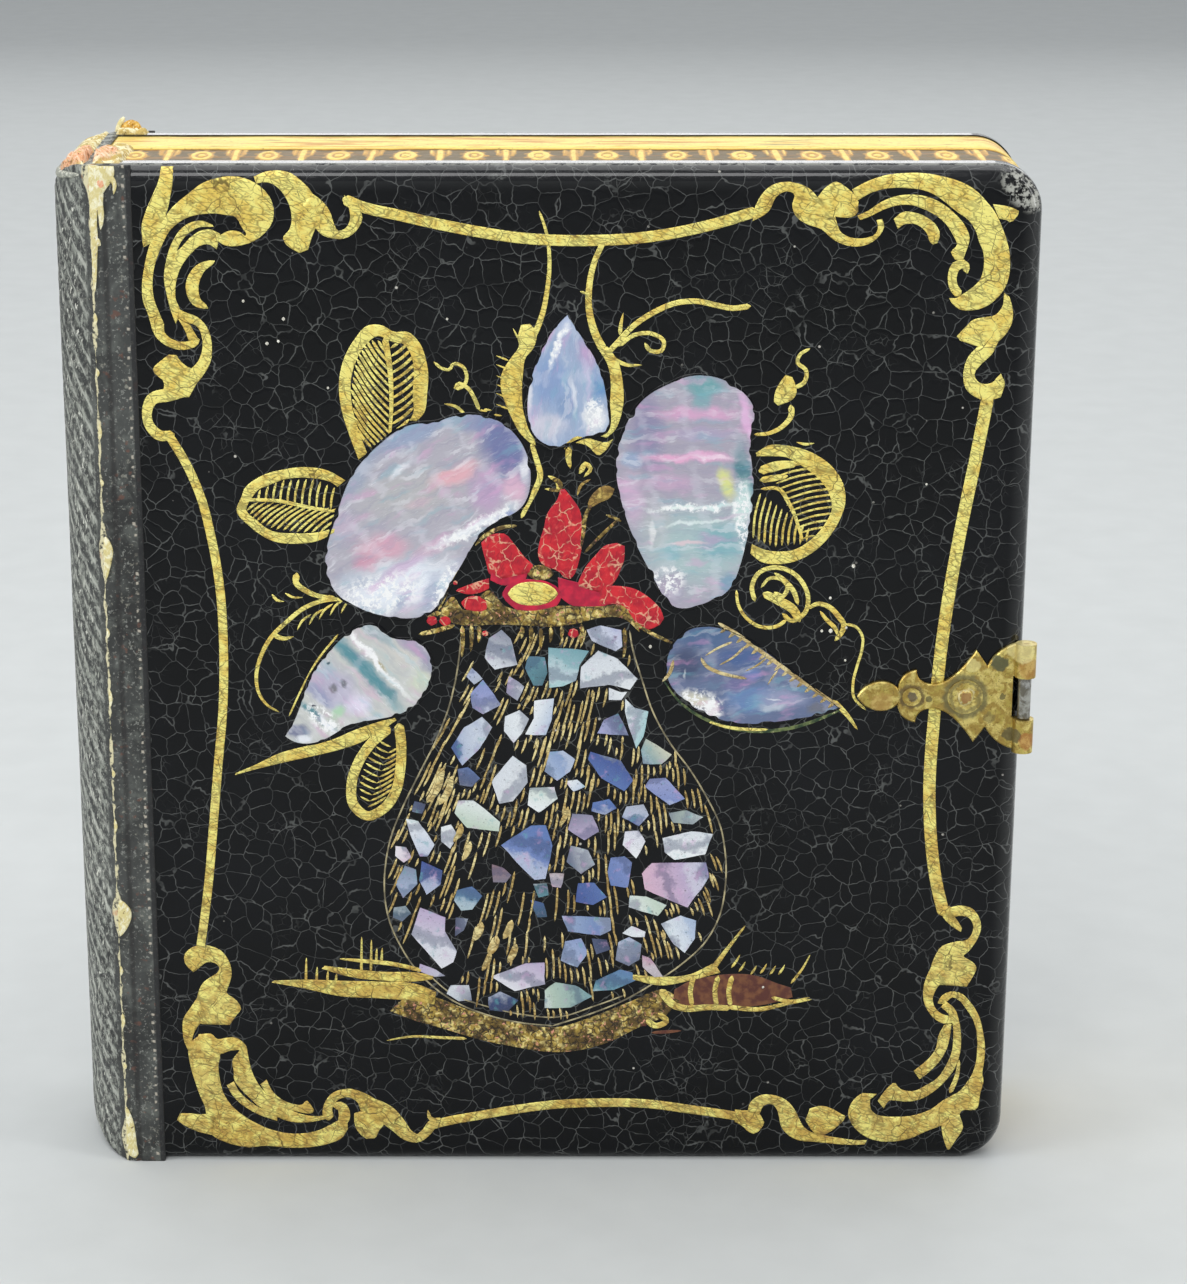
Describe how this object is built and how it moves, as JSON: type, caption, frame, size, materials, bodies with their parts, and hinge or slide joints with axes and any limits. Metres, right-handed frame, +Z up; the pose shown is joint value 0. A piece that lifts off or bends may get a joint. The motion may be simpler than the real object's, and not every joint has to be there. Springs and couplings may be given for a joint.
{
  "type": "daguerreotype case",
  "caption": "Book-form lacquered case for a small plate photograph, with shell inlay, leather spine hinge and brass clasp.",
  "frame": {"origin": "middle of the closed case's outline, at the level of the tail edge that it stands on", "axes": "+Z up along the spine, -Y out of the front cover, +X from the spine to the fore-edge"},
  "size_m": [0.0888, 0.0218, 0.095],
  "materials": {
    "black_lacquer": "black lacquer, finely crackled",
    "dark_leather": "worn embossed leather",
    "pulp_core": "raw pulp board",
    "rail_wood": "plain softwood",
    "gilt_paper": "gilt and embossed",
    "card": "plain card",
    "tape_paper": "gummed paper",
    "red_velvet": "short pile velvet",
    "silvered_plate": "polished silver",
    "clear_glass": "clear",
    "stamped_brass": "thin stamped brass",
    "clasp_brass": "cast and filed brass, aged",
    "mother_of_pearl": "iridescent shell"
  },
  "bodies": {
    "back_half": {"back_cover": "black_lacquer", "back_joint_leather": "dark_leather", "base_head_rail": "rail_wood", "base_fore_rail": "rail_wood", "base_tail_rail": "rail_wood", "base_spine_rail": "rail_wood", "base_gilt_band": "gilt_paper", "backing_card": "card", "velvet_retainer": "red_velvet", "daguerreotype_plate": "silvered_plate", "brass_mat": "stamped_brass", "cover_glass": "clear_glass", "packet_tape": "tape_paper", "brass_preserver": "stamped_brass", "catch_plate": "clasp_brass", "catch_stud": "clasp_brass", "catch_pins": "clasp_brass"},
    "spine": {"spine_leather": "dark_leather", "spine_core": "pulp_core", "spine_lining": "dark_leather"},
    "front_half": {"front_cover": "black_lacquer", "front_joint_leather": "dark_leather", "lid_head_rail": "rail_wood", "lid_fore_rail": "rail_wood", "lid_tail_rail": "rail_wood", "lid_spine_rail": "rail_wood", "lid_gilt_band": "gilt_paper", "pad_board": "card", "velvet_pad": "red_velvet", "pearl_rose_left": "mother_of_pearl", "pearl_rose_right": "mother_of_pearl", "pearl_bud": "mother_of_pearl", "pearl_leaf_left": "mother_of_pearl", "pearl_leaf_right": "mother_of_pearl", "vase_mosaic": "mother_of_pearl", "clasp_plate": "clasp_brass", "clasp_rivets": "clasp_brass", "hinge_pin": "clasp_brass"},
    "hasp": {"hasp_strap": "clasp_brass"}
  },
  "joints": [
    {"name": "back_ridge_fold", "type": "hinge", "parent": "back_half", "child": "spine", "pos_m": [-0.04018, 0.01018, 0.0475], "axis": [0, 0, -1], "range_deg": [0, 90]},
    {"name": "front_ridge_fold", "type": "hinge", "parent": "spine", "child": "front_half", "pos_m": [-0.04018, -0.00882, 0.0475], "axis": [0, 0, -1], "range_deg": [0, 90]},
    {"name": "hasp_turn", "type": "hinge", "parent": "front_half", "child": "hasp", "pos_m": [0.04312, -0.00992, 0.0466], "axis": [0, 0, -1], "range_deg": [0, 180]}
  ]
}
